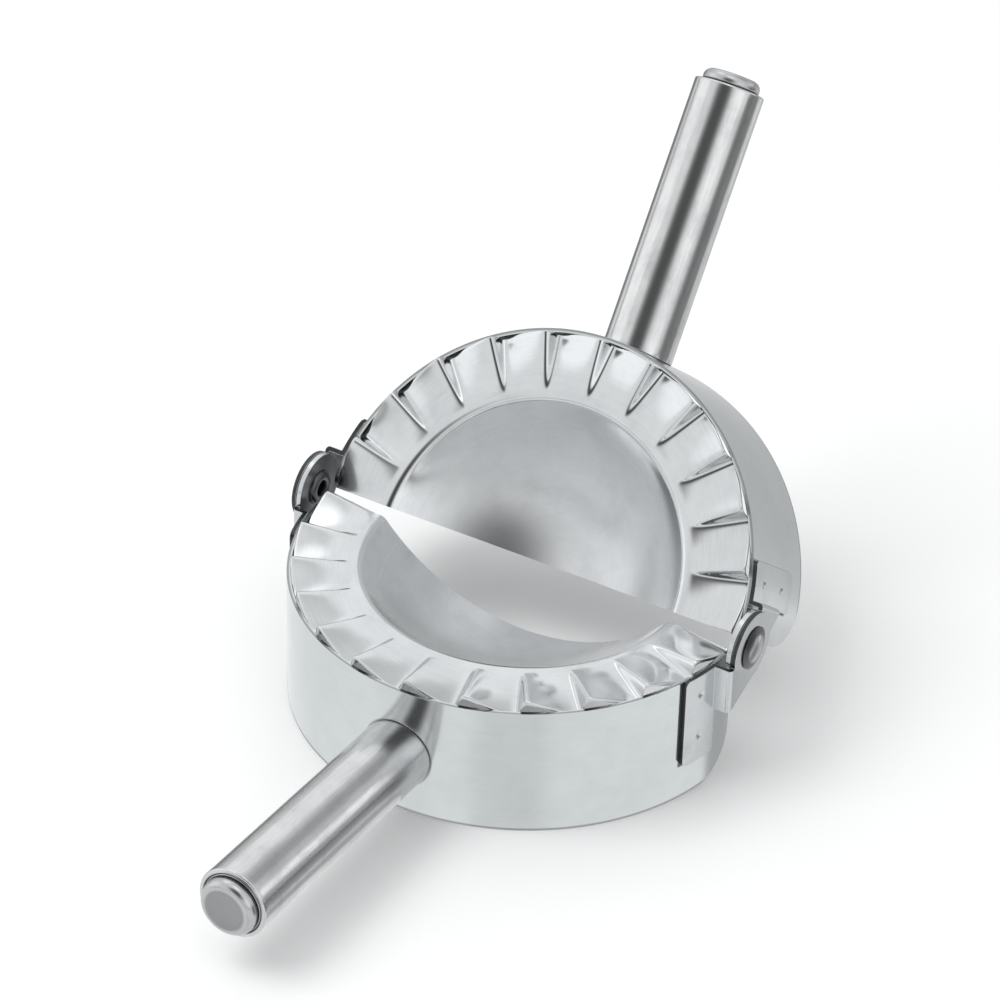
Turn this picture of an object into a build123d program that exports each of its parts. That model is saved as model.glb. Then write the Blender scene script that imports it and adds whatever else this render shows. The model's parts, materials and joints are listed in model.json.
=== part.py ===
from build123d import *

import math
import os

# A hinged half-moon pastry mould in stainless steel sheet. Two equal halves are joined by two riveted
# hinges. Each half is a semicircular band with a pressed plate welded inside its upper edge: a
# half bowl for the filling, and round it a fluted flange that crimps the rim of the dough. A hollow
# handle stands out from the middle of each band.
#
# Frame: X runs along the hinge, -Y points to the front half's handle, +Z is up. The origin is on the
# surface that the front half stands on, at the middle of the whole mould's footprint. The front half
# stands flat, and the back half is turned up about the hinge, as when the mould is being filled.
# Every length is in millimetres and every angle in degrees.

# Band: the ring that cuts the dough when both halves lie open
band_radius = 47.5
band_wall = 0.8
band_height = 28.4
band_setback = 0.5
end_gap = 1.1
lower_corner_radius = 10.0
upper_corner_radius = 3.5

# Hinge line and the pose that the mould is stored in
hinge_lift = 1.0
opening_angle = 51.2

# Pressed plate: half bowl, flat lip and fluted flange
plate_wall = 0.8
plate_fit = 0.05
closed_gap = 0.7
bowl_radius = 33.0
bowl_depth = 15.0
lip_radius = 2.2
lip_width = 2.6
flute_pitch = 15.0
flute_rise = 3.4
flute_sharpness = 0.8
flute_overlap = 0.6
seam_step = 0.04

# Hinge straps: curved sheet on the band, a step outwards, and a round ear on the pivot
strap_wall = 1.0
strap_far_angle = 19.0
strap_foot = 8.0
strap_top_drop = 0.8
strap_corner_radius = 1.2
bend_radius = 0.9
ear_radius = 7.2
ear_clearance = 0.45
ear_root_depth = 10.8
ear_play = 0.15
ear_standoff = 1.75
weld_heights = (14.0, 24.0)
weld_radius = 1.6
weld_depth = 0.3

# Hinge rivets
rivet_radius = 2.2
rivet_clearance = 0.05
rivet_play = 0.05
rivet_head_radius = 4.4
rivet_head_height = 1.0
rivet_head_edge = 0.4
rivet_set_radius = 3.7
rivet_set_height = 0.8
rivet_set_edge = 0.3
rivet_bore_radius = 1.5
rivet_bore_depth = 1.9

# Handle: a coped tube, a plug in its root and a stepped cap in its outer end
handle_radius = 7.35
handle_wall = 1.0
handle_length = 56.6
handle_height = 13.3
handle_rise = 2.0
handle_edge = 0.4
handle_fit = 0.03
plug_length = 5.0
cap_seat = 6.0
nose_radius = 6.0
nose_length = 2.6
nose_edge = 1.7

# Sections that one flute is lofted through, as shares of its pitch from the middle of the steep side
flute_shares = (0.0, 0.04, 0.08, 0.12, 0.2, 0.35, 0.5, 0.65, 0.8, 0.88, 0.92, 0.96)

# Sizes worked out from the ones above
band_bore = band_radius - band_wall
centre = Location((0, -band_setback, 0))
half_turn = 180.0
reach = 2 * band_radius
hinge_height = band_height + hinge_lift
lip_height = hinge_height - closed_gap / 2
lip_outer = bowl_radius + lip_width
plate_radius = band_bore - plate_fit
strap_radius = band_radius + strap_wall
strap_top = hinge_height - strap_top_drop
inner_ear_face = band_radius + ear_standoff
outer_ear_face = inner_ear_face + strap_wall + ear_play
web_inner = ear_radius + ear_clearance
web_outer = web_inner + strap_wall
web_middle = (web_inner + web_outer) / 2
strap_near_angle = math.degrees(math.asin((web_middle - band_setback) / strap_radius))
weld_angle = (strap_near_angle + strap_far_angle) / 2
hinge_axis = Axis((0, 0, hinge_height), (1, 0, 0))


def on_centre(angle, radius, height=0.0):
    """A point of the front half, by its angle round the band from the hinge line's +X end."""
    turn = math.radians(angle)
    return (radius * math.cos(turn), -band_setback - radius * math.sin(turn), height)


def behind_hinge_plane(shape):
    """The part of a shape that lies on the front half's side of the cut ends."""
    return shape & Pos(0, -end_gap - reach / 2, 0) * Box(2 * reach, reach, 2 * reach)


def side_prism(face):
    """A face drawn in the plane X = 0, carried both ways along X."""
    return extrude(face, amount=reach, both=True)


def band():
    """Semicircular wall whose cut ends have rounded corners."""
    ring = centre * extrude(Circle(band_radius) - Circle(band_bore), amount=band_height)
    outline = Plane.YZ * Pos(-end_gap, 0) * Rectangle(reach, band_height, align=(Align.MAX, Align.MIN))
    corners = outline.vertices().group_by(Axis.Y)[-1].sort_by(Axis.Z)
    outline = fillet(corners[0], lower_corner_radius)
    upper = outline.vertices().sort_by(Axis.Z)[-2:].sort_by(Axis.Y)[-1]
    return ring & side_prism(fillet(upper, upper_corner_radius))


def flute_height(share):
    """Height of the flange's face over its mean, a share of a pitch from the middle of a steep side.

    The saw-tooth has round crests and valleys. It is odd about the middle of the steep side, so the
    flanges of the two halves mesh with an even gap when the mould is shut.
    """
    turn = 2 * math.pi * share
    lean = math.atan2(flute_sharpness * math.sin(turn), 1 - flute_sharpness * math.cos(turn))
    return -flute_rise / 2 * lean / math.asin(flute_sharpness)


def flute_section(angle):
    """Radial section of the flange: thin end inside the lip, full rise at the rim.

    It reaches past the band's bore, because straight chords join the sections, and is trimmed after.
    """
    rise = flute_height(angle / flute_pitch)
    inner = lip_outer - flute_overlap
    corners = [
        on_centre(angle, inner, lip_height - seam_step),
        on_centre(angle, band_radius, lip_height + rise),
        on_centre(angle, band_radius, lip_height + rise - plate_wall),
        on_centre(angle, inner, lip_height - plate_wall + seam_step),
    ]
    return make_face(Polyline(*corners, close=True))


def flange_angles():
    """Angles of the flange's sections, with one more section beyond each end."""
    flutes = round(half_turn / flute_pitch)
    beyond = flute_pitch * flute_shares[1]
    angles = [(flute + share) * flute_pitch for flute in range(flutes) for share in flute_shares]
    return [-beyond, *angles, half_turn, half_turn + beyond]


def fluted_flange():
    """Saw-tooth flange, lofted from section to section and trimmed to the band's bore."""
    sections = [flute_section(angle) for angle in flange_angles()]
    return loft(sections, ruled=True) & centre * Cylinder(plate_radius, reach)


def half_bowl():
    """Spherical bowl with a rounded mouth and a flat lip, turned as one sheet."""
    sphere = (bowl_radius**2 + bowl_depth**2) / (2 * bowl_depth)
    middle = lip_height - bowl_depth + sphere
    under = sphere + plate_wall
    under_height = lip_height - plate_wall
    mouth = math.sqrt(under**2 - (middle - under_height) ** 2)
    face_mid = on_arc(sphere, middle, bowl_radius)
    under_mid = on_arc(under, middle, mouth)
    bottom = lip_height - bowl_depth
    edges = Curve() + [
        ThreePointArc((0, bottom), face_mid, (bowl_radius, lip_height)),
        Line((bowl_radius, lip_height), (lip_outer, lip_height)),
        Line((lip_outer, lip_height), (lip_outer, under_height)),
        Line((lip_outer, under_height), (mouth, under_height)),
        ThreePointArc((mouth, under_height), under_mid, (0, bottom - plate_wall)),
        Line((0, bottom - plate_wall), (0, bottom)),
    ]
    sheet = make_face(edges)
    top_bend = sheet.vertices().sort_by_distance((bowl_radius, lip_height))[0]
    sheet = fillet(top_bend, lip_radius)
    under_bend = sheet.vertices().sort_by_distance((mouth, under_height))[0]
    sheet = fillet(under_bend, lip_radius - plate_wall)
    return centre * revolve(Plane.XZ * sheet, Axis.Z)


def on_arc(radius, middle, end):
    """The point half way along an arc from the bowl's axis out to a radius of end."""
    half = math.asin(end / radius) / 2
    return (radius * math.sin(half), middle - radius * math.cos(half))


def press_plate():
    """Bowl, lip and fluted flange in one pressed sheet."""
    return behind_hinge_plane(half_bowl() + fluted_flange())


def strap_plate():
    """The part of a strap that lies on the band, with rounded corners at its foot and far end."""
    ring = centre * (Circle(strap_radius) - Circle(band_radius))
    wedge = make_face(
        Polyline(
            on_centre(0, 0),
            on_centre(strap_near_angle, reach),
            on_centre(strap_far_angle, reach),
            close=True,
        )
    )
    plate = Pos(0, 0, strap_foot) * extrude(ring & wedge, amount=strap_top - strap_foot)
    corners = plate.edges().filter_by(Axis.Z, reverse=True).filter_by(GeomType.LINE)
    near_top = corners.sort_by_distance(on_centre(strap_near_angle, band_radius, strap_top))[0]
    return fillet([edge for edge in corners if edge != near_top], strap_corner_radius)


def tab_plan(ear_face):
    """Plan of the bent end of a strap: square out from the band, then along the ear's plane."""
    ear_outer = ear_face + strap_wall
    root = on_centre(strap_near_angle, band_radius)[0]
    low = (Align.MIN, Align.MIN)
    web = Pos(root, -web_outer) * Rectangle(ear_outer - root, strap_wall, align=low)
    ear = Pos(ear_face, -web_outer) * Rectangle(strap_wall, web_outer + ear_radius, align=low)
    plan = web - centre * Circle(band_radius) + ear
    outside = plan.vertices().sort_by_distance((ear_outer, -web_outer))[0]
    return fillet(outside, bend_radius)


def tab_outline():
    """Side view of the bent end of a strap: a root that leans up to the round ear."""
    low = (-web_outer, -ear_root_depth)
    turn = math.atan2(low[1], low[0]) + math.acos(ear_radius / math.hypot(*low))
    touch = (ear_radius * math.cos(turn), ear_radius * math.sin(turn))
    top = strap_top - hinge_height
    root = make_face(Polyline(low, touch, (0, 0), (0, top), (-web_outer, top), close=True))
    return Plane.YZ * Pos(0, hinge_height) * (root + Circle(ear_radius))


def hinge_strap(ear_face):
    """Strap of the +X side, with its ear's inner face at ear_face, its pivot hole and its welds."""
    tab = extrude(tab_plan(ear_face), amount=hinge_height + ear_radius)
    strap = strap_plate() + (tab & side_prism(tab_outline()))
    strap -= pivot_cylinder(rivet_radius + rivet_clearance, band_radius, reach)
    dent = weld_radius - weld_depth
    for height in weld_heights:
        strap -= Pos(*on_centre(weld_angle, strap_radius + dent, height)) * Sphere(weld_radius)
    return strap


def pivot_cylinder(radius, start, end):
    """A cylinder on the hinge line between two values of X."""
    return Pos(start, 0, hinge_height) * Rot(0, 90, 0) * Cylinder(
        radius, end - start, align=(Align.CENTER, Align.CENTER, Align.MIN)
    )


def hinge_rivet():
    """Rivet of the +X side: domed head outside, shank, and a rolled hollow end inside."""
    head_start = outer_ear_face + strap_wall + rivet_play
    set_end = inner_ear_face - rivet_play
    head = pivot_cylinder(rivet_head_radius, head_start, head_start + rivet_head_height)
    head = fillet(head.edges().group_by(Axis.X)[-1], rivet_head_edge)
    shank = pivot_cylinder(rivet_radius, set_end, head_start)
    rolled = pivot_cylinder(rivet_set_radius, set_end - rivet_set_height, set_end)
    rolled = fillet(rolled.edges().group_by(Axis.X)[0], rivet_set_edge)
    hollow = pivot_cylinder(
        rivet_bore_radius, set_end - rivet_set_height, set_end - rivet_set_height + rivet_bore_depth
    )
    return head + shank + rolled - hollow


def handle_place():
    """Plane whose +Z runs out along the handle, from the band's outer face."""
    rise = math.radians(handle_rise)
    start = on_centre(90, band_radius, handle_height)
    return Plane(origin=start, x_dir=(1, 0, 0), z_dir=(0, -math.cos(rise), math.sin(rise)))


def along_handle(radius, start, end):
    """A cylinder on the handle's axis between two distances from the band."""
    place = handle_place() * Pos(0, 0, start)
    return place * Cylinder(radius, end - start, align=(Align.CENTER, Align.CENTER, Align.MIN))


def coped(shape):
    """A shape cut back to the band's outer face, where it is welded on."""
    return shape - centre * Cylinder(band_radius, reach)


def handle_tube():
    """Hollow handle, coped to the band and rounded at its outer end."""
    inside = -handle_radius
    tube = along_handle(handle_radius, inside, handle_length)
    tube = fillet(tube.edges().sort_by(Axis.Y)[0], handle_edge)
    return coped(tube - along_handle(handle_radius - handle_wall, inside, handle_length))


def handle_plug():
    """Plug in the handle's root, which the weld to the band is made through."""
    bore = handle_radius - handle_wall - handle_fit
    return coped(along_handle(bore, -handle_radius, plug_length))


def handle_cap():
    """Cap in the handle's outer end, with a narrower nose that stands out."""
    bore = handle_radius - handle_wall - handle_fit
    seat = along_handle(bore, handle_length - cap_seat, handle_length)
    nose = along_handle(nose_radius, handle_length, handle_length + nose_length)
    nose = fillet(nose.edges().sort_by(Axis.Y)[0], nose_edge)
    return seat + nose


def mirrored(shape):
    """The same piece on the -X side."""
    return mirror(shape, about=Plane.YZ)


def half_pieces():
    """Every piece of one half, as the front half has them. Its +X ear is the outer one."""
    return {
        "band": band(),
        "press_plate": press_plate(),
        "hinge_strap_right": hinge_strap(outer_ear_face),
        "hinge_strap_left": mirrored(hinge_strap(inner_ear_face)),
        "handle_tube": handle_tube(),
        "handle_plug": handle_plug(),
        "handle_cap": handle_cap(),
    }


def swap_side(name):
    """Name of a piece after its half is turned end for end."""
    if name.endswith("_right"):
        return name.replace("_right", "_left")
    return name.replace("_left", "_right")


def mould():
    """Both halves and the rivets, before the origin is set."""
    pieces = {}
    for name, shape in half_pieces().items():
        pieces[f"front_{name}"] = shape
        turned = shape.rotate(Axis.Z, half_turn)
        pieces[f"back_{swap_side(name)}"] = turned.rotate(hinge_axis, opening_angle)
    pieces["hinge_rivet_right"] = hinge_rivet()
    pieces["hinge_rivet_left"] = mirrored(hinge_rivet())
    return pieces


def footprint_middle(pieces):
    """Where the middle of the footprint lies along Y. Along X it is on the mould's own middle."""
    boxes = [shape.bounding_box() for shape in pieces.values()]
    return (min(box.min.Y for box in boxes) + max(box.max.Y for box in boxes)) / 2


def main():
    """Write one file for each piece, with the origin under the middle of the mould."""
    os.makedirs("parts", exist_ok=True)
    pieces = mould()
    middle = footprint_middle(pieces)
    for name, shape in pieces.items():
        export_step(shape.moved(Pos(0, -middle, 0)), f"parts/{name}.step")
    print("hinge axis at y", round(-middle, 4), "and z", hinge_height)


main()
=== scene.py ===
"""Looks of a hinged half-moon pastry press in stainless steel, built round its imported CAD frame.

Every piece is made in one half's own flat coordinates, in millimetres: X runs along the hinge, the
hinge line stands over Y = 0, the half lies towards -Y and its lower edge is at Z = 0. HalfFrame then
carries it to its place in the row frame, in metres.
"""

import json
import logging
import math
from collections.abc import Callable
from dataclasses import dataclass, field, replace
from enum import Enum, IntEnum

import bmesh
import bpy
import numpy as np
from mathutils import Matrix, Vector


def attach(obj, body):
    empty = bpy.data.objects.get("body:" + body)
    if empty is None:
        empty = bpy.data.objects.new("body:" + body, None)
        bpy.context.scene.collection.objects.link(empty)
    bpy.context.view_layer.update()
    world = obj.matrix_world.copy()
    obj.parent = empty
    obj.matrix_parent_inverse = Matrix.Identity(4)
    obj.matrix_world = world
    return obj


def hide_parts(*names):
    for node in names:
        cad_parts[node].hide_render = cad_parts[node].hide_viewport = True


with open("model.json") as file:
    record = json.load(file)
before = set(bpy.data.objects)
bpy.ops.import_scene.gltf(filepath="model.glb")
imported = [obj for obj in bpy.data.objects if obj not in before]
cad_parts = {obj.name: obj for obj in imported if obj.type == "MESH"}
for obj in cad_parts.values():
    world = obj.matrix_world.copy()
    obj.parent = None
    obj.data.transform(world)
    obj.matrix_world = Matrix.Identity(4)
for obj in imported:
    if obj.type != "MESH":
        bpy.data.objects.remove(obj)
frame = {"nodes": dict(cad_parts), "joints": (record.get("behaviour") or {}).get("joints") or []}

LOG = logging.getLogger("press_mould")
Pair = tuple[float, float]
Point = tuple[float, float, float]
Colour = tuple[float, float, float]
Array = np.ndarray
Socket = bpy.types.NodeSocket
Material = bpy.types.Material
Paint = Colour | Socket

MM = 0.001

# Sizes that sub-assemblies share, in millimetres. The axis of a half's round shape lies the setback
# away from the hinge line, and its cut ends stay the end gap away from it.
BAND_RADIUS = 47.5
SETBACK = 0.5
END_GAP = 1.1
HANDLE_RADIUS = 7.35
HANDLE_HEIGHT = 13.3

# Where a handle's axis leaves the band's outer face.
HANDLE_START = (0.0, -SETBACK - BAND_RADIUS, HANDLE_HEIGHT)

# Distances in metres under which points are welded in a new piece and in a copy of a CAD mesh, and
# under which an edge is taken out.
SEAM_WELD = 2e-7
CAD_WELD = 1e-6
SPECK = 1e-7

# Angle in degrees over which an edge is rounded.
SHARP_EDGE = 50.0


class Half(Enum):
    """The two equal halves of the mould, by the first word of their node names."""

    FRONT = "front"
    BACK = "back"


class Side(Enum):
    """The two ends of the hinge line, by the last word of their node names."""

    LEFT = "left"
    RIGHT = "right"


class Grain(Enum):
    """Direction of a finish's fine lines in the piece's UV map, or none in object coordinates."""

    AROUND = "around"
    ALONG = "along"
    CLOUDED = "clouded"


class StrapFace(IntEnum):
    """Kinds of face on a strap, by the number of their finish: the satin sheet, and two kinds with
    painted shade.
    """

    SATIN = 0
    SHADED_EDGE = 1
    SHADED_INNER_EAR = 2


@dataclass(frozen=True)
class HalfFrame:
    """Carries a piece from a half's flat coordinates to the row frame.

    Attributes:
        hinge_y: Place of the hinge line along Y in the row frame, in millimetres.
        hinge_z: Height of the hinge line, in millimetres.
        opening: How far the back half is turned up, in degrees.
    """

    hinge_y: float
    hinge_z: float
    opening: float

    @classmethod
    def from_joint(cls, joint: dict) -> "HalfFrame":
        """Reads the hinge line and the opening from the fold's joint.

        Args:
            joint: The joint's entry in the frame, at whose lower limit both halves lie flat.

        Returns:
            The frame of both halves.
        """
        _, y, z = joint["pos_m"]
        return cls(y / MM, z / MM, -joint["range_deg"][0])

    def turn(self, half: Half) -> Array:
        """Matrix that turns a half. The back one turns half round about Z, and then up about X."""
        if half is Half.FRONT:
            return np.eye(3)
        cosine, sine = math.cos(math.radians(self.opening)), math.sin(math.radians(self.opening))
        return np.array([[-1, 0, 0], [0, -cosine, -sine], [0, -sine, cosine]])

    def place(self, points: Array, half: Half) -> Array:
        """Moves points of a half to the row frame, turned about the hinge line and shifted in Y.

        Args:
            points: Array whose last axis holds x, y and z in millimetres.
            half: The half that the points belong to.

        Returns:
            The same points in the row frame, in metres.
        """
        hinge = np.array((0, 0, self.hinge_z))
        return ((points - hinge) @ self.turn(half).T + hinge + (0, self.hinge_y, 0)) * MM

    def flat(self, points: Array, half: Half) -> Array:
        """Carries points of the row frame, in millimetres, back to a half's flat coordinates."""
        return (points - (0, self.hinge_y, self.hinge_z)) @ self.turn(half) + (0, 0, self.hinge_z)


def arc(centre: Pair, size: float | Pair, start: float, end: float, count: int) -> Array:
    """Points of an arc in a section: centre + (width cos a, height sin a).

    Args:
        centre: Its centre.
        size: Its radius, or its width and height from the centre.
        start: Angle of the first point in degrees.
        end: Angle of the last point.
        count: Number of points.

    Returns:
        Array of count by 2.
    """
    turn = np.radians(np.linspace(start, end, count))
    return np.array(centre) + np.multiply(size, np.stack([np.cos(turn), np.sin(turn)], axis=-1))


def run(start: Array | Pair, end: Array | Pair, count: int) -> Array:
    """Evenly spaced points of a straight run, of which the first and the last are left out."""
    return np.linspace(start, end, count)[1:-1]


def length_along(section: Array) -> Array:
    """Length of a section up to each of its points, as a column."""
    steps = np.linalg.norm(np.diff(section, axis=0), axis=1)
    return np.concatenate([[0], np.cumsum(steps)])[:, None]


def sphere_radius(width: float, height: float) -> float:
    """Radius of the sphere whose cap has that half width and height: (w^2 + h^2) / 2h."""
    return (width**2 + height**2) / (2 * height)


def about_axis(radius: Array | float, angle: Array, height: Array) -> Array:
    """Points round the axis of a half, by the angle in radians: (r cos a, -s - r sin a, z)."""
    across, away = radius * np.cos(angle), -SETBACK - radius * np.sin(angle)
    return np.stack(np.broadcast_arrays(across, away, height), axis=-1)


def in_scene(name: str, data: bpy.types.ID) -> bpy.types.Object:
    """Makes an object of a mesh, a light or a camera and links it to the scene."""
    made = bpy.data.objects.new(name, data)
    bpy.context.scene.collection.objects.link(made)
    return made


def smooth_object(mesh: bpy.types.Mesh, sharp: float) -> bpy.types.Object:
    """Shades a mesh smooth, but for edges over an angle in degrees, and puts it in the scene."""
    mesh.shade_smooth()
    mesh.set_sharp_from_angle(angle=math.radians(sharp))
    return in_scene(mesh.name, mesh)


def soften_edges(piece: bpy.types.Object, width: float, segments: int = 2) -> None:
    """Rounds the sharp edges of a piece with a bevel, which takes the piece's first finish.

    Args:
        piece: The piece.
        width: Width of the rounding in millimetres.
        segments: Number of faces across it.
    """
    bevel = piece.modifiers.new("soft_edges", "BEVEL")
    bevel.width = width * MM
    bevel.segments = segments
    bevel.limit_method = "ANGLE"
    bevel.angle_limit = math.radians(SHARP_EDGE)
    bevel.harden_normals = True
    bevel.material = 0


@dataclass
class Skin:
    """Mesh in the making, of grids of quads that are welded where their borders meet.

    Each grid adds an array of points, one of vertex numbers with four to a face, and one of UV
    pairs in millimetres with one to a point.
    """

    points: list[Array] = field(default_factory=list)
    faces: list[Array] = field(default_factory=list)
    maps: list[Array] = field(default_factory=list)

    def add_grid(self, points: Array, u: Array, v: Array) -> None:
        """Adds a grid of quads. Face (i, j) joins the points (i, j), (i, j+1), (i+1, j+1), (i+1, j).

        Args:
            points: Array of rows by columns by 3.
            u: UV map's first number for each point, or anything that spreads to rows by columns.
            v: The second number, in the same way.
        """
        rows, columns = points.shape[:2]
        first = np.arange(rows * columns).reshape(rows, columns) + sum(map(len, self.points))
        quads = [first[:-1, :-1], first[:-1, 1:], first[1:, 1:], first[1:, :-1]]
        self.faces.append(np.stack(quads, axis=-1).reshape(-1, 4))
        self.points.append(points.reshape(-1, 3))
        spread = [np.broadcast_to(part, (rows, columns)).reshape(-1) for part in (u, v)]
        self.maps.append(np.stack(spread, axis=-1))

    def object(self, name: str, sharp: float = 38.0) -> bpy.types.Object:
        """Makes the object, with seams and poles welded and the faces turned outwards.

        Args:
            name: Name of the object and its mesh.
            sharp: Angle in degrees over which an edge is shaded sharp.

        Returns:
            The new object, linked to the scene, at the origin.
        """
        mesh = bpy.data.meshes.new(name)
        corners = np.concatenate(self.faces)
        mesh.from_pydata(np.concatenate(self.points).tolist(), [], corners.tolist())
        layer = mesh.uv_layers.new(name="surface")
        layer.data.foreach_set("uv", np.concatenate(self.maps)[corners.ravel()].ravel())
        shape = bmesh.new()
        shape.from_mesh(mesh)
        bmesh.ops.remove_doubles(shape, verts=shape.verts, dist=SEAM_WELD)
        bmesh.ops.dissolve_degenerate(shape, edges=shape.edges, dist=SPECK)
        bmesh.ops.recalc_face_normals(shape, faces=shape.faces)
        shape.to_mesh(mesh)
        shape.free()
        return smooth_object(mesh, sharp)


# The middle of all noise, and how strong each finer layer of it is against the one before.
NOISE_MIDDLE = 0.5
FINER_SHARE = 0.6


def operator(operation: str, turned: bool = False) -> Callable[..., "Value"]:
    """Makes an operator of Value.

    Args:
        operation: What Blender's Math node calls it.
        turned: Whether the value is the second operand.

    Returns:
        A method that adds the Math node and returns its result.
    """

    def operate(value: "Value", *others: "Value | float") -> "Value":
        """Adds the Math node."""
        operands = (*others, value) if turned else (value, *others)
        made = value.graph.node("ShaderNodeMath", dict(enumerate(operands)), operation=operation)
        return Value(value.graph, made.outputs[0])

    return operate


class Value:
    """A number that varies over a surface or a direction, with the usual operators as Math nodes."""

    def __init__(self, graph: "NodeGraph", socket: Socket) -> None:
        """Keeps the socket that gives the number and the graph that it is in."""
        self.graph = graph
        self.socket = socket

    __add__ = __radd__ = operator("ADD")
    __sub__ = operator("SUBTRACT")
    __rsub__ = operator("SUBTRACT", turned=True)
    __mul__ = __rmul__ = operator("MULTIPLY")
    __pow__ = operator("POWER")
    __abs__ = operator("ABSOLUTE")
    larger = operator("MAXIMUM")

    def over(self, low: float) -> "Value":
        """How far the number is over a limit, and 0 below it."""
        return (self - low).larger(0.0)

    def between(self, low: float, high: float) -> "Value":
        """A smooth step from 0 at low to 1 at high, which may lie the other way round."""
        inputs = {"Value": self, "From Min": low, "From Max": high, "To Min": 0.0, "To Max": 1.0}
        made = self.graph.node("ShaderNodeMapRange", inputs, interpolation_type="SMOOTHSTEP")
        return Value(self.graph, made.outputs[0])

    def toward(self, other: "Value | float", share: "Value | float") -> "Value":
        """The number moved to another one by a share from 0 to 1."""
        return self + share * (other - self)


class NodeGraph:
    """A node tree, with every node made by one method."""

    def __init__(self, tree: bpy.types.NodeTree) -> None:
        """Starts with the tree emptied."""
        self.tree = tree
        self.tree.nodes.clear()

    def node(self, kind: str, inputs: dict, **settings: str) -> bpy.types.Node:
        """Adds a node.

        Args:
            kind: Blender's name of the node's type.
            inputs: Values or links of its sockets, by name or number.
            **settings: The node's own settings, which are set first.

        Returns:
            The new node.
        """
        made = self.tree.nodes.new(kind)
        for key, setting in settings.items():
            setattr(made, key, setting)
        for key, given in inputs.items():
            if isinstance(given, Value):
                given = given.socket
            if isinstance(given, Socket):
                self.tree.links.new(given, made.inputs[key])
            else:
                made.inputs[key].default_value = given
        return made

    def parts(self, vector: Socket) -> tuple[Value, ...]:
        """The three numbers of a vector."""
        made = self.node("ShaderNodeSeparateXYZ", {0: vector})
        return tuple(Value(self, socket) for socket in made.outputs)

    def noise(self, place: Socket, scale: Point, detail: float, shift: Point = (0, 0, 0)) -> Value:
        """Soft noise from 0 to 1, stretched by its scale along each axis.

        Args:
            place: The coordinates that it reads.
            scale: Number of blotches to a unit along each axis.
            detail: Number of finer layers added.
            shift: Moves the pattern, so that two layers differ.

        Returns:
            The noise as a value.
        """
        inputs = {"Vector": place, "Scale": scale, "Location": shift}
        mapping = self.node("ShaderNodeMapping", inputs)
        inputs = {"Vector": mapping.outputs[0], "Scale": 1.0, "Detail": detail}
        inputs["Roughness"] = FINER_SHARE
        made = self.node("ShaderNodeTexNoise", inputs, noise_dimensions="3D")
        return Value(self, made.outputs["Fac"])

    def blend(self, share: Value, low: Paint, high: Paint) -> Socket:
        """A colour between two, by a value from 0 to 1. A Mix node's colour sockets have numbers."""
        low, high = ((*paint, 1.0) if isinstance(paint, tuple) else paint for paint in (low, high))
        made = self.node("ShaderNodeMix", {0: share, 6: low, 7: high}, data_type="RGBA")
        return made.outputs[2]


class SteelGraph(NodeGraph):
    """The node tree of one finish."""

    def __init__(self, name: str) -> None:
        """Starts an empty material of that name."""
        self.material = bpy.data.materials.new(name)
        self.material.use_nodes = True
        super().__init__(self.material.node_tree)

    def surface_map(self) -> Socket:
        """The piece's own UV map, in millimetres."""
        return self.node("ShaderNodeUVMap", {}, uv_map="surface").outputs["UV"]

    def object_map(self) -> Socket:
        """Object coordinates, in metres."""
        return self.node("ShaderNodeTexCoord", {}).outputs["Object"]

    def spots(self, layer: tuple[Point, float, Point, Pair]) -> Value:
        """Noise over the whole piece, which rises from 0 to 1 over the last pair of its layer."""
        return self.noise(self.object_map(), *layer[:3]).between(*layer[3])

    def finish(self, colour: Socket, roughness: Value, relief: Value, depth: float) -> Material:
        """Ends the graph with a metal surface.

        Args:
            colour: The metal's colour.
            roughness: Its roughness.
            relief: Height of the fine relief, from 0 to 1.
            depth: What a relief of 1 stands for, in millimetres.

        Returns:
            The material.
        """
        inputs = {"Height": relief, "Strength": 1.0, "Distance": depth * MM}
        normal = self.node("ShaderNodeBump", inputs).outputs[0]
        inputs = {"Base Color": colour, "Metallic": 1.0, "Roughness": roughness, "Normal": normal}
        metal = self.node("ShaderNodeBsdfPrincipled", inputs)
        self.node("ShaderNodeOutputMaterial", {"Surface": metal.outputs[0]})
        return self.material


# Noise over a whole piece: scale to a metre, detail, shift, and where it rises from 0 to 1.
CLOUDS = ((55, 55, 55), 4.0, (0, 0, 0), (0.3, 0.7))
SMUDGES = ((140, 140, 140), 5.0, (3, 1, 4), (0.45, 0.8))
SCRATCHED_SPOTS = ((60, 60, 60), 2.0, (2, 8, 5), (0.55, 0.7))

# The noise for scratches, in the same order, and how far from its middle value they reach.
LONG_MARKS = ((900, 130, 500), 1.0, (9, 5, 2))
SCRATCH_REACH = 0.006

# The lines' noise: the shares of its fine and its coarse layer, the detail of both, and how the
# coarse one is scaled and shifted.
LINE_SHARES = (0.6, 0.4)
LINE_DETAIL = 2.0
COARSE_SCALE = 0.31
COARSE_SHIFT = (7, 3, 1)

# How much lines, clouds, smudges and scratches darken it, and the sums for light and dark.
TONE_SHARES = (0.55, 0.3, 0.25, -0.12)
TONE_SPAN = (0.1, 0.95)

# Roughness added by smudges, as a share of the clouds' part, by scratches and by painted shade.
SMUDGE_DULLNESS = 0.6
SCRATCH_DULLNESS = 0.05
PAINTED_SHADE_DULLNESS = 0.25

# Depth of a scratch against the height of the lines, and the colour of painted shade in creases and
# gaps.
SCRATCH_RELIEF = 0.15
PAINTED_SHADE_COLOUR = (0.035, 0.036, 0.038)


@dataclass(frozen=True)
class Zone:
    """A line or zone that runs round a piece, with painted shade that makes it darker, or a haze that
    makes it duller, than the rest.

    Attributes:
        place: Its middle along the second number of the piece's map, in millimetres.
        reach: How far it reaches to either side.
        depth: Its strength in the middle, from 0 to 1.
        core: Share of the reach that has the full strength.
    """

    place: float
    reach: float
    depth: float
    core: float = 0.4

    def shade(self, along: Value) -> Value:
        """Its strength over the piece, by the second number of the piece's map."""
        return self.depth * abs(along - self.place).between(self.reach, self.core * self.reach)


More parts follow.
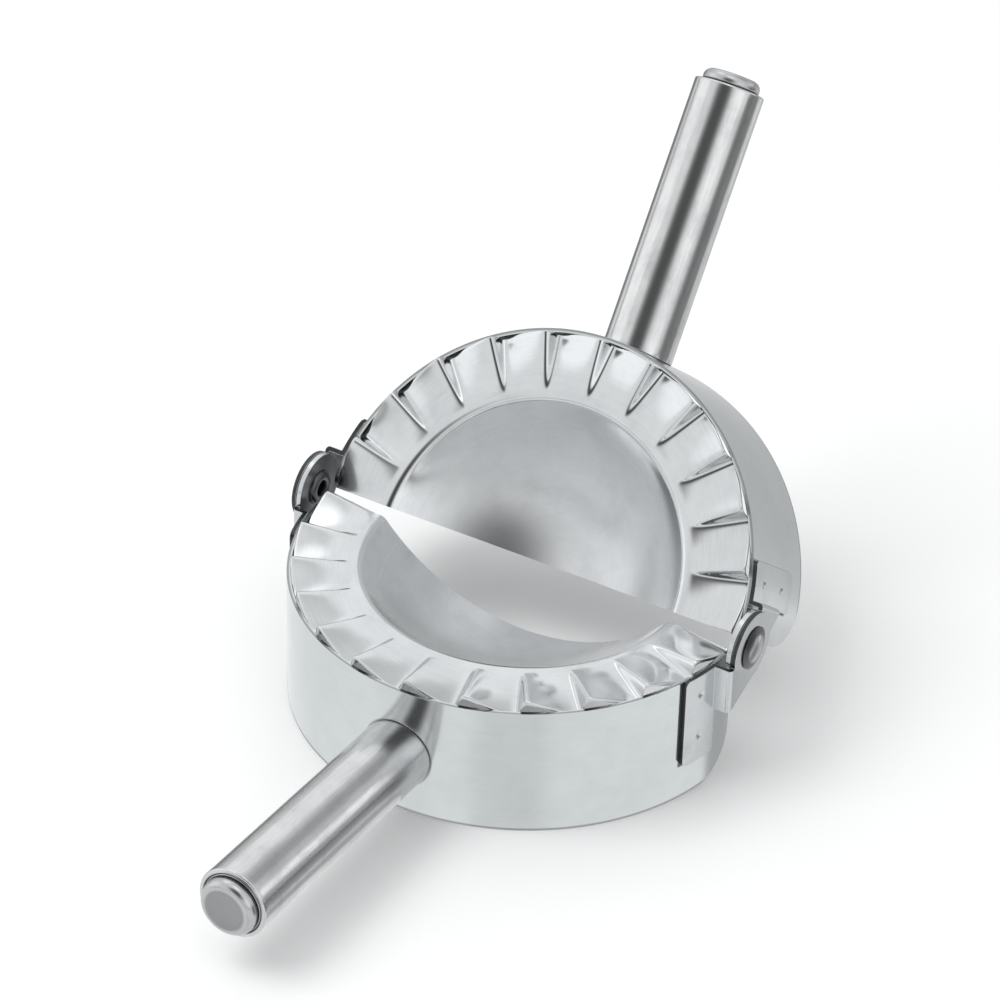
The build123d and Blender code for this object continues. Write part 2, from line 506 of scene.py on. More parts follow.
def total_shade(graph: SteelGraph, zones: tuple[Zone, ...]) -> Value | float:
    """Strength of all zones together."""
    _, along, _ = graph.parts(graph.surface_map())
    return sum((zone.shade(along) for zone in zones), 0.0)


@dataclass(frozen=True)
class SteelFinish:
    """Stainless steel with fine lines, a cloudy polish and faint scratches.

    Attributes:
        name: Name of the material.
        light: Colour where the polish is best.
        dark: Colour where it is dullest.
        roughness: Mean roughness.
        spread: How far the lines change the roughness either way.
        clouds: How far the clouds change the roughness.
        lines: Number of lines to a millimetre, across them.
        depth: Depth of the lines in millimetres.
        grain: Direction of the lines.
        stretch: How many times longer a line is than it is wide.
        painted_shades: Painted shade, mostly in lines where the piece meets others and in its gaps.
        haze: Broad zones that are duller, but no darker.
    """

    name: str
    light: Colour
    dark: Colour
    roughness: float
    spread: float
    clouds: float
    lines: float
    depth: float
    grain: Grain = Grain.CLOUDED
    stretch: float = 1.0
    painted_shades: tuple[Zone, ...] = ()
    haze: tuple[Zone, ...] = ()

    def line_scale(self) -> Point:
        """Scale of the noise that draws the lines, in the coordinates that they are drawn in."""
        along = self.lines / self.stretch
        if self.grain is Grain.ALONG:
            return (self.lines, along, 1.0)
        if self.grain is Grain.AROUND:
            return (along, self.lines, 1.0)
        return (self.lines / MM, self.lines / MM, self.lines / MM)

    def drawn_lines(self, graph: SteelGraph) -> Value:
        """Noise drawn out along the grain, in a fine and a coarse layer, from 0 to 1."""
        place = graph.object_map() if self.grain is Grain.CLOUDED else graph.surface_map()
        x, y, z = self.line_scale()
        fine = graph.noise(place, (x, y, z), LINE_DETAIL)
        coarse_scale = (x * COARSE_SCALE, y * COARSE_SCALE, z)
        coarse = graph.noise(place, coarse_scale, LINE_DETAIL, COARSE_SHIFT)
        return LINE_SHARES[0] * fine + LINE_SHARES[1] * coarse

    def shade(self, graph: SteelGraph) -> Value | float:
        """Strength of all painted shade, from 0 to 1."""
        return total_shade(graph, self.painted_shades)

    def material(self) -> Material:
        """Builds the material.

        Clouds and smudges are broad noise over the whole surface. Scratches are the thin places
        where a long noise crosses its middle value, and they show only in some spots.
        """
        graph = SteelGraph(self.name)
        lines = self.drawn_lines(graph)
        clouds, smudges, spots = map(graph.spots, (CLOUDS, SMUDGES, SCRATCHED_SPOTS))
        long_marks = graph.noise(graph.object_map(), *LONG_MARKS)
        marks = abs(long_marks - NOISE_MIDDLE).between(SCRATCH_REACH, 0.0) * spots
        layers = zip(TONE_SHARES, (lines, clouds, smudges, marks))
        tone = sum(share * layer for share, layer in layers).between(*TONE_SPAN)
        colour = graph.blend(tone, self.light, self.dark)
        roughness = (
            self.roughness
            + self.spread * (lines - NOISE_MIDDLE)
            + self.clouds * (clouds - NOISE_MIDDLE)
            + SMUDGE_DULLNESS * self.clouds * smudges
            + SCRATCH_DULLNESS * marks
        )
        if self.haze:
            roughness = roughness + total_shade(graph, self.haze)
        # Painted shade: the colour is drawn towards near black where these zones lie.
        if self.painted_shades:
            shade = self.shade(graph)
            colour = graph.blend(shade, colour, PAINTED_SHADE_COLOUR)
            roughness = roughness + PAINTED_SHADE_DULLNESS * shade
        return graph.finish(colour, roughness, lines - SCRATCH_RELIEF * marks, self.depth)


@dataclass(frozen=True)
class BandFinish(SteelFinish):
    """The band's finish, with painted shade in lines round the straps and the handle's root.

    The map's first number runs along the arc and the second up. The strap arc is where a strap
    begins and ends. The other pairs are the distances at which a line, or the outer face, ends and
    up to which it is full. The shades are from 0 to 1.
    """

    half_arc: float = 74.61
    strap_arc: Pair = (7.52, 15.75)
    strap_foot: float = 8.0
    strap_line: Pair = (0.6, 0.1)
    strap_shade: float = 0.85
    root_line: Pair = (0.5, 0.1)
    root_shade: float = 0.45
    outer_end: Pair = (39.0, 38.5)

    def shade(self, graph: SteelGraph) -> Value:
        """Painted shade of the zones, and round the strap's far edge and foot and the handle's root on
        the outer face.
        """
        arc_place, up, _ = graph.parts(graph.surface_map())
        from_middle = abs(arc_place - self.half_arc)
        from_end = self.half_arc - from_middle
        near, far = self.strap_arc
        beside = from_end.over(far).larger(near - from_end)
        below = (self.strap_foot - up).over(0.0)
        strap = ((beside**2 + below**2) ** 0.5).between(*self.strap_line)
        root = (from_middle**2 + (up - HANDLE_HEIGHT) ** 2) ** 0.5 - HANDLE_RADIUS
        shades = (self.strap_shade * strap).larger(self.root_shade * root.between(*self.root_line))
        return super().shade(graph) + up.between(*self.outer_end) * shades


BAND_FINISH = BandFinish(
    "band_satin_steel", light=(0.69, 0.715, 0.72), dark=(0.61, 0.635, 0.64),
    roughness=0.13, spread=0.05, clouds=0.04,
    lines=5.0, depth=0.0006, grain=Grain.AROUND, stretch=60.0,
    # Painted shade along the lower edge and the cut edges, and under the flange on the inner face.
    painted_shades=(Zone(0.0, 0.7, 0.5), Zone(67.5, 2.5, 0.9)),
)
PLATE_FINISH = SteelFinish(
    "plate_polished_steel", light=(0.72, 0.73, 0.74), dark=(0.58, 0.59, 0.60),
    roughness=0.14, spread=0.05, clouds=0.05,
    lines=4.0, depth=0.0005, grain=Grain.AROUND, stretch=20.0,
    # Painted shade in the gaps under the flutes' crests.
    painted_shades=(Zone(53.0, 2.2, 1.0),),
    haze=(Zone(0.0, 36.0, 0.16, core=0.8),),
)
STRAP_FINISH = SteelFinish(
    "strap_satin_steel", light=(0.66, 0.68, 0.69), dark=(0.53, 0.55, 0.56),
    roughness=0.24, spread=0.10, clouds=0.06, lines=3.0, depth=0.0010,
)
# Painted shade on the strap's sheared edges: near black.
SHEARED_EDGE_SHADE_FINISH = SteelFinish(
    "sheared_edge_painted_shade_steel", light=(0.078, 0.08, 0.083), dark=(0.03, 0.031, 0.033),
    roughness=0.34, spread=0.16, clouds=0.08, lines=4.0, depth=0.0025,
)
# Painted shade on the inner faces of the ears.
INNER_EAR_SHADE_FINISH = replace(
    SHEARED_EDGE_SHADE_FINISH, name="inner_ear_painted_shade_steel", light=(0.24, 0.245, 0.25), dark=(0.11, 0.113, 0.117),
    roughness=0.30, spread=0.14, depth=0.0020,
)
HANDLE_FINISH = SteelFinish(
    "handle_brushed_steel", light=(0.72, 0.72, 0.72), dark=(0.50, 0.50, 0.51),
    roughness=0.19, spread=0.12, clouds=0.05,
    lines=3.4, depth=0.0012, grain=Grain.ALONG, stretch=14.0,
    # Painted shade round the root on the band and where the cap meets the tube's end.
    painted_shades=(Zone(0.8, 0.35, 0.55), Zone(58.3, 0.3, 0.85)),
)
CAP_FINISH = SteelFinish(
    "cap_turned_steel", light=(0.58, 0.58, 0.59), dark=(0.44, 0.44, 0.45),
    roughness=0.26, spread=0.10, clouds=0.05,
    lines=4.0, depth=0.0010, grain=Grain.AROUND, stretch=60.0,
    # Painted shade in the groove, and a painted darkening of the nose's flat face.
    painted_shades=(Zone(12.75, 0.45, 0.85), Zone(20.6, 4.7, 0.4, core=0.85)),
)
RIVET_FINISH = SteelFinish(
    "rivet_steel", light=(0.40, 0.405, 0.41), dark=(0.24, 0.245, 0.25),
    roughness=0.15, spread=0.08, clouds=0.06,
    lines=3.0, depth=0.0012, grain=Grain.AROUND, stretch=12.0,
    # Painted shade in the bore, on the rolled end and round the head's skirt.
    painted_shades=(Zone(1.8, 1.4, 0.9), Zone(4.5, 3.0, 0.75), Zone(12.0, 1.5, 0.75)),
)


@dataclass
class Workshop:
    """What all parts share: where each half lies, and the materials so far by finish name."""

    halves: HalfFrame
    materials: dict[str, Material] = field(default_factory=dict)

    def dress(self, piece: bpy.types.Object, *finishes: SteelFinish) -> None:
        """Gives a piece its finishes, in the order of their numbers, each made at its first use."""
        piece.data.materials.clear()
        for finish in finishes:
            if finish.name not in self.materials:
                self.materials[finish.name] = finish.material()
            piece.data.materials.append(self.materials[finish.name])


@dataclass
class HalfPart:
    """A sub-assembly that rides on one half. Sizes are in millimetres and angles in degrees."""

    shop: Workshop
    half: Half

    def placed(self, points: Array) -> Array:
        """Its points in the row frame, in metres."""
        return self.shop.halves.place(points, self.half)

    def turned(
        self, section: Array, start: Point, axis: Vector, columns: int, map_radius: float
    ) -> Skin:
        """Turns a section about an axis: point = start + axis t + r (side cos a + up sin a).

        Args:
            section: Radius r and distance t along the axis of each point.
            start: A point of the axis.
            axis: Unit vector along it.
            columns: Number of columns, of which the last lies on the first.
            map_radius: Radius that turns the angle into a length of the UV map.

        Returns:
            The turned skin, in the row frame.
        """
        along = np.array(axis)
        side = np.array(axis.orthogonal().normalized())
        up = np.cross(along, side)
        turn = np.linspace(0, 2 * np.pi, columns)[:, None]
        ring = np.cos(turn) * side + np.sin(turn) * up
        radius, travel = section.T[:, :, None, None]
        points = np.array(start) + travel * along + radius * ring
        skin = Skin()
        skin.add_grid(self.placed(points), turn.T * map_radius, length_along(section))
        return skin

    def hand_over(self, piece: bpy.types.Object, node: str, slot: str, *finishes: SteelFinish) -> None:
        """Dresses a new piece and puts it in the place of its CAD node.

        Args:
            piece: The piece, in the row frame.
            node: The CAD node that it stands for.
            slot: The record's material slot of that node. Not used.
            *finishes: Its finishes.
        """
        body = f"{self.half.value}_half"
        self.shop.dress(piece, *finishes)
        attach(piece, body)
        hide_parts(node)
        LOG.info("%s stands for %s on %s, %d faces", piece.name, node, body, len(piece.data.polygons))


@dataclass
class PressPlate(HalfPart):
    """Pressed sheet with a half bowl, a flat lip and a fluted flange.

    The pitch is the angle from flute to flute and the rise their full height at the band. The
    sharpness runs from 0 for a sine to 1 for a saw-tooth.
    """

    lip_height: float = 29.05
    wall: float = 0.8
    bowl_radius: float = 33.0
    bowl_depth: float = 15.0
    lip_bend: float = 2.2
    flange_start: float = 35.0
    rim: float = 46.65
    rim_round: float = 0.24
    pitch: float = 15.0
    rise: float = 3.4
    sharpness: float = 0.8
    map_radius: float = 40.0
    columns: int = 500

    def flute(self, angle: Array) -> Array:
        """Height of the flange over its mean at full rise.

        The saw-tooth is -h/2 times atan2(k sin t, 1 - k cos t) / asin k, where t is the angle in
        turns of the pitch and k the sharpness.

        Args:
            angle: Angle round the half in degrees.

        Returns:
            Height in millimetres, of the same shape.
        """
        turn = 2 * np.pi * angle / self.pitch
        lean = np.arctan2(self.sharpness * np.sin(turn), 1 - self.sharpness * np.cos(turn))
        return -self.rise / 2 * lean / math.asin(self.sharpness)

    def line(self, under: float) -> Array:
        """Radial line of the sheet, from the bowl's axis to where the rim's rounding begins.

        The bowl is an arc whose sphere passes through its bottom and mouth. A rolling circle of the
        lip's bend touches both the sphere and the flat lip.

        Args:
            under: How far the line lies under the sheet's face.

        Returns:
            Radius and height of each point.
        """
        sphere = sphere_radius(self.bowl_radius, self.bowl_depth)
        middle = self.lip_height - self.bowl_depth + sphere
        bend_height = self.lip_height - self.lip_bend
        bend_place = math.sqrt((sphere + self.lip_bend) ** 2 - (middle - bend_height) ** 2)
        touch = math.degrees(math.asin(bend_place / (sphere + self.lip_bend)))
        start = math.degrees(math.asin((END_GAP - SETBACK) / sphere))
        bowl = arc((0, middle), sphere + under, start - 90, touch - 90, count=26)
        bend = arc((bend_place, bend_height), self.lip_bend - under, touch + 90, 90, count=9)
        end = (self.rim - self.rim_round, self.lip_height - under)
        return np.concatenate([bowl, bend[1:], run(bend[-1], end, count=27), [end]])

    def section(self) -> Array:
        """The whole section: along the face, round the rim, and back along the underside."""
        face, under = self.line(0.0), self.line(self.wall)
        under[0, 0] = face[0, 0]
        edge = self.rim_round
        upper = arc(face[-1] - (0, edge), edge, 90, 0, count=4)
        lower = arc(under[-1] + (0, edge), edge, 0, -90, count=4)
        return np.concatenate([face, upper[1:], lower[:-1], under[::-1]])

    def sheet_points(self, section: Array) -> tuple[Array, Array]:
        """Carries the section round the half circle, with the flutes added.

        Each row spans the angles at which its circle is clear of the gap at the hinge. The flutes'
        height grows in proportion from the flange's start to the band.

        Args:
            section: Radius and height without flutes of each row.

        Returns:
            Points of rows by columns, and their angles in radians.
        """
        radius, height = section.T[:, :, None]
        start = np.degrees(np.arcsin(np.clip((END_GAP - SETBACK) / radius, 0, 1)))
        angle = start + np.linspace(0, 1, self.columns) * (180 - 2 * start)
        reach = (radius - self.flange_start) / (BAND_RADIUS - self.flange_start)
        fluted = height + np.clip(reach, 0, None) * self.flute(angle)
        turn = np.radians(angle)
        return about_axis(radius, turn, fluted), turn

    def build(self) -> None:
        """Makes the plate."""
        section = self.section()
        points, turn = self.sheet_points(section)
        placed = self.placed(points)
        length = length_along(section)
        skin = Skin()
        skin.add_grid(placed, turn * self.map_radius, length)
        rows = len(section) // 2
        for column in (0, -1):
            line = placed[:, column]
            wall = np.stack([line[:rows], line[: rows - 1 : -1]], axis=1)
            skin.add_grid(wall, np.array([[0.0, self.wall]]), length[:rows])
        skin.add_grid(placed[[0, -1]], turn[:1], length[:2])
        piece = skin.object(f"{self.half.value}_plate_sheet")
        soften_edges(piece, width=0.12)
        self.hand_over(piece, f"{self.half.value}_press_plate", "plate_steel", PLATE_FINISH)


@dataclass
class Band(HalfPart):
    """Semicircular wall with rounded corners at its cut ends.

    The map shift keeps the inner face clear of the outer one in the map.
    """

    wall: float = 0.8
    height: float = 28.4
    lower_corner: float = 10.0
    upper_corner: float = 3.5
    map_shift: float = 40.0
    columns: int = 181

    def outline(self) -> Array:
        """Side view of a cut end: a quarter circle below, a straight run and a quarter circle above.

        Returns:
            Distance of the end from the hinge line along Y, and height, for each row.
        """
        low, high = self.lower_corner, self.upper_corner
        foot = arc((END_GAP + low, low), low, 270, 180, count=15)
        top = arc((END_GAP + high, self.height - high), high, 180, 90, count=15)
        return np.concatenate([foot, run(foot[-1], top[0], count=7), top])

    def wall_points(self, radius: float) -> tuple[Array, Array, Array]:
        """One face of the wall: each row is an arc between the cut ends at its height.

        Args:
            radius: Radius of the face.

        Returns:
            Points of rows by columns, their angles in radians, and the rows' heights as a column.
        """
        far, up = self.outline().T[:, :, None]
        start = np.arcsin((far - SETBACK) / radius)
        angle = start + np.linspace(0, 1, self.columns) * (math.pi - 2 * start)
        return about_axis(radius, angle, up), angle, up

    def build(self) -> None:
        """Makes the band."""
        outer, angle, up = self.wall_points(BAND_RADIUS)
        inner, _, _ = self.wall_points(BAND_RADIUS - self.wall)
        outer, inner = self.placed(outer), self.placed(inner)
        around = angle * BAND_RADIUS
        skin = Skin()
        skin.add_grid(outer, around, up)
        skin.add_grid(inner, around, up + self.map_shift)
        width = np.array([[0.0], [self.wall]])
        for row in (0, -1):
            skin.add_grid(np.stack([outer[row], inner[row]]), around[row][None, :], width)
        for column in (0, -1):
            skin.add_grid(np.stack([outer[:, column], inner[:, column]]), up.T, width)
        piece = skin.object(f"{self.half.value}_band_wall")
        soften_edges(piece, width=0.16, segments=3)
        self.hand_over(piece, f"{self.half.value}_band", "band_steel", BAND_FINISH)


@dataclass
class Handle(HalfPart):
    """Coped tube on the band with a stepped cap in its outer end.

    The rise is over the level. The groove's end and the nose's start are counted from the tube's
    end, and the cope fade is the power by which the coped shape dies out along the tube.
    """

    wall: float = 1.0
    length: float = 56.6
    rise: float = 2.0
    root_round: float = 0.3
    end_round: float = 0.4
    cope_fade: int = 8
    fit: float = 0.03
    seat: float = 6.0
    seat_chamfer: float = 0.15
    groove_depth: float = 0.12
    groove_end: float = 0.25
    nose_start: float = 0.4
    nose_radius: float = 6.0
    nose_length: float = 2.6
    nose_round: float = 1.7
    columns: int = 121

    def tube_points(self, section: Array, ring: Array) -> Array:
        """Turns the tube's section about its axis, with the root coped to the band.

        A line of the tube at x = r sin b, and at u = r cos b over the axis, meets the band at the
        distance t where t cos a = u sin a - R + sqrt(R^2 - x^2), with R the band's radius and a the
        rise. That distance, times a share that dies out along the tube, is added to its travel.

        Args:
            section: Radius r and travel along the axis of each row.
            ring: Angle b of each column from the top.

        Returns:
            Points of rows by columns.
        """
        radius, travel = section.T[:, :, None]
        turn = math.radians(self.rise)
        x, up = radius * np.sin(ring), radius * np.cos(ring)
        depth = np.sqrt(BAND_RADIUS**2 - x**2) - BAND_RADIUS
        cope = (up * math.sin(turn) + depth) / math.cos(turn)
        share = np.clip(1 - travel / self.length, 0, 1) ** self.cope_fade
        reach = travel + share * cope
        _, start_y, start_z = HANDLE_START
        y = start_y - reach * math.cos(turn) + up * math.sin(turn)
        z = start_z + reach * math.sin(turn) + up * math.cos(turn)
        return np.stack([x, y, z], axis=-1)

    def tube(self) -> None:
        """Makes the tube: out along its face, round the end, and back along its bore."""
        bore, root, end = HANDLE_RADIUS - self.wall, self.root_round, self.end_round
        foot = arc((HANDLE_RADIUS - root, root), root, -90, 0, count=5)
        tip = arc((HANDLE_RADIUS - end, self.length - end), end, 0, 90, count=7)
        inside = [(bore, self.length), (bore, 0)]
        section = np.concatenate([[(bore, 0)], foot, run(foot[-1], tip[0], count=60), tip, inside])
        ring = np.linspace(0, 2 * np.pi, self.columns)
        placed = self.placed(self.tube_points(section, ring))
        skin = Skin()
        skin.add_grid(placed, ring * HANDLE_RADIUS, length_along(section))
        piece = skin.object(f"{self.half.value}_handle_sleeve")
        self.hand_over(piece, f"{self.half.value}_handle_tube", "handle_steel", HANDLE_FINISH)

    def cap(self) -> None:
        """Makes the cap: a seat in the bore, a shallow groove, and a nose with a round edge."""
        base, seat, chamfer = self.length, HANDLE_RADIUS - self.wall - self.fit, self.seat_chamfer
        nose, edge, top = self.nose_radius, self.nose_round, base + self.nose_length
        neck = nose - self.groove_depth
        section = np.concatenate(
            [
                [(0, base - self.seat), (seat, base - self.seat)],
                [(seat, base - chamfer), (seat - chamfer, base)],
                [(neck, base), (neck, base + self.groove_end), (nose, base + self.nose_start)],
                arc((nose - edge, top - edge), edge, 0, 90, count=9),
                run((nose - edge, top), (0, top), count=8),
                [(0, top)],
            ]
        )
        rise = math.radians(self.rise)
        axis = Vector((0, -math.cos(rise), math.sin(rise)))
        skin = self.turned(section, HANDLE_START, axis, columns=97, map_radius=3.0)
        piece = skin.object(f"{self.half.value}_handle_nose", sharp=48.0)
        self.hand_over(piece, f"{self.half.value}_handle_cap", "cap_steel", CAP_FINISH)

    def build(self) -> None:
        """Makes the tube and the cap, and dresses the plug in the root."""
        self.tube()
        self.cap()
        plug = frame["nodes"][f"{self.half.value}_handle_plug"]
        self.shop.dress(plug, STRAP_FINISH)
        LOG.info("%s keeps its CAD form", plug.name)


@dataclass
class Rivet(HalfPart):
    """Rivet on the hinge line: bore, rolled end, shank and domed head.

    The starts and the end are places along the hinge line, counted from its middle.
    """

    side: Side
    shank: float = 2.2
    head: float = 4.4
    head_height: float = 1.0
    head_start: float = 51.45
    head_chamfer: Pair = (0.15, 0.12)
    skirt: float = 0.22
    set_radius: float = 3.7
    set_start: float = 48.4
    set_end: float = 49.2
    bore: float = 1.5
    bore_depth: float = 1.9
    bore_cone: float = 0.3

    def build(self) -> None:
        """Makes the rivet, turned about the hinge line."""
        roll = (self.set_radius - self.bore) / 2
        curl = (roll, self.set_start - self.set_end)
        floor, back = self.set_start + self.bore_depth, self.head_start
        top = back + self.head_height
        sphere = sphere_radius(self.head, self.head_height - self.skirt)
        rim = math.degrees(math.acos(self.head / sphere))
        inset, lift = self.head_chamfer
        section = np.concatenate(
            [
                [(0, floor), (self.bore, floor - self.bore_cone), (self.bore, self.set_end)],
                arc((self.bore + roll, self.set_end), curl, 180, 0, count=15),
                [(self.shank, self.set_end), (self.shank, back)],
                [(self.head - inset, back), (self.head, back + lift)],
                arc((0, top - sphere), sphere, rim, 90, count=16),
            ]
        )
        start = (0.0, 0.0, self.shop.halves.hinge_z)
        axis = Vector((1 if self.side is Side.RIGHT else -1, 0, 0))
        skin = self.turned(section, start, axis, columns=73, map_radius=2.0)
        piece = skin.object(f"rivet_{self.side.value}")
        self.hand_over(piece, f"hinge_rivet_{self.side.value}", "rivet_steel", RIVET_FINISH)


@dataclass
class Strap(HalfPart):
    """Sheet strap that is welded on the band, with a web and a riveted ear.

    The ear's places are counted from the hinge line's middle. The web and the ear lie outside the
    plate radius. The two limits are for the parts of a unit normal.
    """

    side: Side
    plate_radius: float = 48.55
    ear_face: float = 49.2
    inner_ear_back: float = 50.3
    facing_limit: float = 0.5
    level_limit: float = 0.05
    flat_angle: float = 0.2

    def build(self) -> None:
        """Makes the strap: a welded copy of the CAD sheet with softly rounded edges."""
        node = f"{self.half.value}_hinge_strap_{self.side.value}"
        mesh = frame["nodes"][node].data.copy()
        mesh.name = f"{self.half.value}_strap_sheet_{self.side.value}"
        shape = bmesh.new()
        shape.from_mesh(mesh)
        bmesh.ops.remove_doubles(shape, verts=shape.verts, dist=CAD_WELD)
        flat = math.radians(self.flat_angle)
        bmesh.ops.dissolve_limit(shape, angle_limit=flat, verts=shape.verts, edges=shape.edges)
        shape.to_mesh(mesh)
        shape.free()
        if "custom_normal" in mesh.attributes:
            mesh.attributes.remove(mesh.attributes["custom_normal"])
        piece = smooth_object(mesh, sharp=30.0)
        soften_edges(piece, width=0.17)
        finishes = (STRAP_FINISH, SHEARED_EDGE_SHADE_FINISH, INNER_EAR_SHADE_FINISH)
        self.hand_over(piece, node, "strap_steel", *finishes)
        mesh.polygons.foreach_set("material_index", self.face_finishes(mesh))

    def face_finishes(self, mesh: bpy.types.Mesh) -> Array:
        """Tells the strap's sheared edges and the inner face of its ear, which get painted shade, from
        the rest.

        The sheet faces along X at the ear, along Y at the web and along the band's radius on the
        band. A face whose normal leans by less than half towards that direction is a sheared edge,
        unless it is level and lies between X and Y, which is a bend beside the web. The edge of
        the inner ear keeps the satin finish.

        Args:
            mesh: The strap's mesh, in the row frame.

        Returns:
            The number of each face's finish.
        """
        centre, normal = np.empty((2, len(mesh.polygons), 3))
        mesh.polygons.foreach_get("center", centre.ravel())
        mesh.polygons.foreach_get("normal", normal.ravel())
        centre = self.shop.halves.flat(centre / MM, self.half)
        normal = normal @ self.shop.halves.turn(self.half)
        radial = centre + (0, SETBACK, 0)
        radial[:, 2] = 0
        radius = np.linalg.norm(radial, axis=1)
        radial /= radius[:, None]
        from_middle = np.abs(centre[:, 0])
        ear = from_middle > self.ear_face
        raised = radius > self.plate_radius
        on_band = (normal * radial).sum(axis=1)
        facing = np.where(ear, normal[:, 0], np.where(raised, normal[:, 1], on_band))
        inward = ear & (normal[:, 0] * np.sign(centre[:, 0]) < -self.facing_limit)
        lean = np.abs(normal)
        slanting = lean[:, :2].min(axis=1) > self.level_limit
        bend = raised & slanting & (lean[:, 2] < self.level_limit)
        inner = ear & (from_middle < self.inner_ear_back)
        shaded_edge = (np.abs(facing) < self.facing_limit) & ~bend & ~inner
        kinds = np.select([inward, shaded_edge], [StrapFace.SHADED_INNER_EAR, StrapFace.SHADED_EDGE], StrapFace.SATIN)
        return kinds.astype(np.int32)


@dataclass(frozen=True)
class Patch:
    """A soft round patch of the surroundings, with its brightness for a tone.

    It is full within its radius round the direction of its middle, and fades out beyond that over
    a few more degrees.
    """

    toward: Point
    radius: float
    fade: float
    tone: float

    def laid_over(self, tone: Value, direction: tuple[Value, ...]) -> Value:
        """Lays the patch over a tone.

        Args:
            tone: The tone behind it, for every direction.
            direction: The three numbers of the direction.

        Returns:
            The tone with the patch in it.
        """
        aim = Vector(self.toward).normalized()
        x, y, z = direction
        facing = x * aim.x + y * aim.y + z * aim.z
        outer = math.cos(math.radians(self.radius + self.fade))
        share = facing.between(outer, math.cos(math.radians(self.radius)))
        return tone.toward(self.tone, share)


@dataclass
class Surroundings:
    """What the steel reflects: a tone for each direction, from 0 for black to 1 for white.

    The tones below the horizon are near, to the front and the sides, and far, to the back. Those
    above it are the walls and the back wall. A span holds the Y or Z of the direction where a tone
    begins and where it is full. Floor and walls run into each other up to a Z of the blur, with
    a thin line at the horizon. The tint is the share of red, green and blue in all tones, and the
    patches are laid over them one after the other.
    """

    near: float = 0.96
    far: float = 0.55
    far_span: Pair = (0.55, 1.0)
    walls: float = 0.96
    back_wall: float = 0.72
    back_span: Pair = (0.1, 0.7)
    blur: float = 0.02
    horizon: float = 0.18
    horizon_span: Pair = (0.04, 0.015)
    tint: Colour = (0.982, 0.996, 1.0)
    patches: tuple[Patch, ...] = (
        Patch((0.16, -0.75, 0.64), 10, 23, 0.09),
        Patch((-0.90, -0.30, 0.28), 14, 12, 1.25),
        Patch((0.88, -0.36, 0.32), 10, 9, 1.25),
        Patch((0.95, 0.25, -0.18), 11, 8, 0.22),
        Patch((0.80, 0.52, -0.30), 9, 8, 0.28),
        Patch((-0.80, 0.52, -0.30), 9, 10, 0.25),
        Patch((-0.42, 0.69, 0.59), 17, 9, 1.08),
        Patch((0.31, 0.69, 0.65), 4, 12, 0.45),
        Patch((0.69, 0.68, 0.22), 3, 7, 1.40),
        Patch((0.72, 0.66, -0.14), 2, 4, 0.10),
        Patch((0.33, -0.70, -0.62), 5, 14, 0.82),
        Patch((0.47, 0.64, -0.605), 5, 5, 0.48),
        Patch((0.40, 0.79, -0.47), 1, 3, 1.50),
        Patch((-0.50, 0.20, 0.84), 6, 10, 1.60),
        Patch((0.15, -0.10, 0.98), 7, 10, 1.60),
    )

    def build(self) -> None:
        """Makes the world."""
        world = bpy.data.worlds.new("studio")
        world.use_nodes = True
        graph = NodeGraph(world.node_tree)
        direction = graph.parts(graph.node("ShaderNodeTexCoord", {}).outputs["Generated"])
        _, y, z = direction
        floor = self.near + (self.far - self.near) * y.between(*self.far_span)
        room = self.walls + (self.back_wall - self.walls) * y.between(*self.back_span)
        tone = floor.toward(room, z.between(-self.blur, self.blur))
        tone = tone.toward(self.horizon, abs(z).between(*self.horizon_span))
        for patch in self.patches:
            tone = patch.laid_over(tone, direction)
        parts = dict(enumerate(tone * part for part in self.tint))
        colour = graph.node("ShaderNodeCombineXYZ", parts).outputs[0]
        glow = graph.node("ShaderNodeBackground", {"Color": colour})
        graph.node("ShaderNodeOutputWorld", {"Surface": glow.outputs[0]})
        bpy.context.scene.world = world


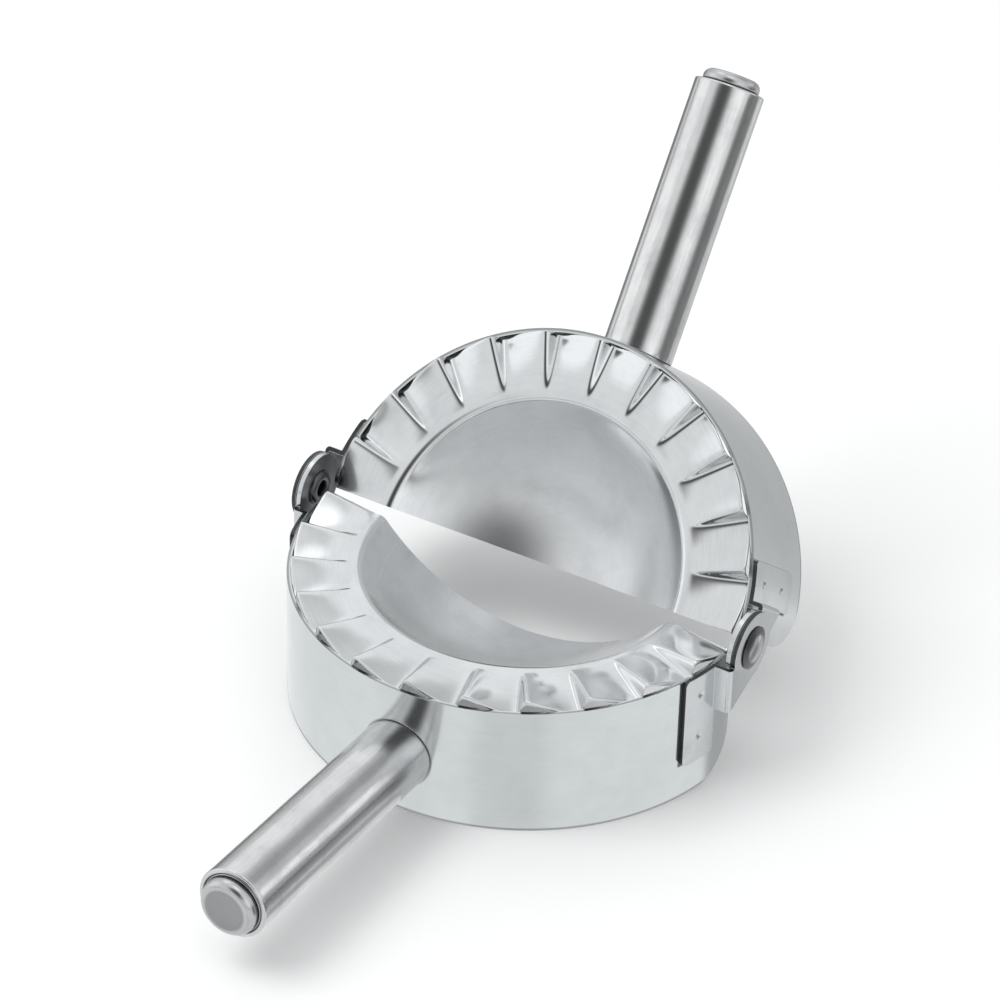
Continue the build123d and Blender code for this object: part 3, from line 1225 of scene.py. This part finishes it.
@dataclass
class Studio:
    """Pale floor, soft light, surroundings and the camera at the photograph's view, in metres."""

    eye: Point = (0.347282, -0.589895, 0.526481)
    forward: Point = (-0.41624, 0.70879, -0.56952)
    upward: Point = (-0.31088, 0.47768, 0.82169)
    lens: float = 154.29
    sensor: float = 36.0
    clip: Pair = (0.05, 20.0)
    floor_size: float = 6.0
    floor_tone: float = 0.93
    floor_roughness: float = 0.9
    floor_shine: float = 0.1
    key_place: Point = (-0.45, -0.45, 1.0)
    key_aim: Point = (0, 0, 0.03)
    key_side: float = 0.7
    key_power: float = 5.0

    def camera(self) -> None:
        """Places the camera with its three axes worked out from the photograph."""
        data = bpy.data.cameras.new("view")
        data.lens = self.lens
        data.sensor_width = self.sensor
        data.clip_start, data.clip_end = self.clip
        back = -Vector(self.forward).normalized()
        right = Vector(self.upward).cross(back).normalized()
        turn = Matrix((right, back.cross(right), back)).transposed().to_4x4()
        made = in_scene("view", data)
        made.matrix_world = Matrix.Translation(self.eye) @ turn
        bpy.context.scene.camera = made

    def floor(self) -> None:
        """Lays a plain pale floor at Z = 0."""
        side = self.floor_size / 2
        corners = [(-side, -side, 0), (side, -side, 0), (side, side, 0), (-side, side, 0)]
        mesh = bpy.data.meshes.new("floor")
        mesh.from_pydata(corners, [], [(0, 1, 2, 3)])
        paint = bpy.data.materials.new("floor_paint")
        paint.use_nodes = True
        surface = paint.node_tree.nodes["Principled BSDF"].inputs
        surface["Base Color"].default_value = (self.floor_tone,) * 3 + (1.0,)
        surface["Roughness"].default_value = self.floor_roughness
        surface["Specular IOR Level"].default_value = self.floor_shine
        mesh.materials.append(paint)
        made = in_scene("floor", mesh)
        made.visible_glossy = False

    def key(self) -> None:
        """Hangs one soft square light, which the steel doesn't mirror."""
        data = bpy.data.lights.new("key", "AREA")
        data.shape = "RECTANGLE"
        data.size = data.size_y = self.key_side
        data.energy = self.key_power
        made = in_scene("key", data)
        made.visible_glossy = False
        made.location = self.key_place
        sight = Vector(self.key_aim) - Vector(self.key_place)
        made.rotation_euler = sight.to_track_quat("-Z", "Y").to_euler()

    def build(self) -> None:
        """Sets up the floor, the surroundings, the light and the camera."""
        self.floor()
        Surroundings().build()
        self.key()
        self.camera()
        bpy.context.scene.view_settings.view_transform = "Standard"


def main() -> None:
    logging.basicConfig(level=logging.INFO, format="%(name)s: %(message)s")
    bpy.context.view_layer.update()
    fold = next(joint for joint in frame["joints"] if joint["name"] == "half_fold")
    shop = Workshop(HalfFrame.from_joint(fold))
    for half in Half:
        for part in (Band, PressPlate, Handle):
            part(shop, half).build()
    for side in Side:
        Rivet(shop, Half.FRONT, side).build()
        for half in Half:
            Strap(shop, half, side).build()
    Studio().build()


if __name__ == "__main__":
    main()
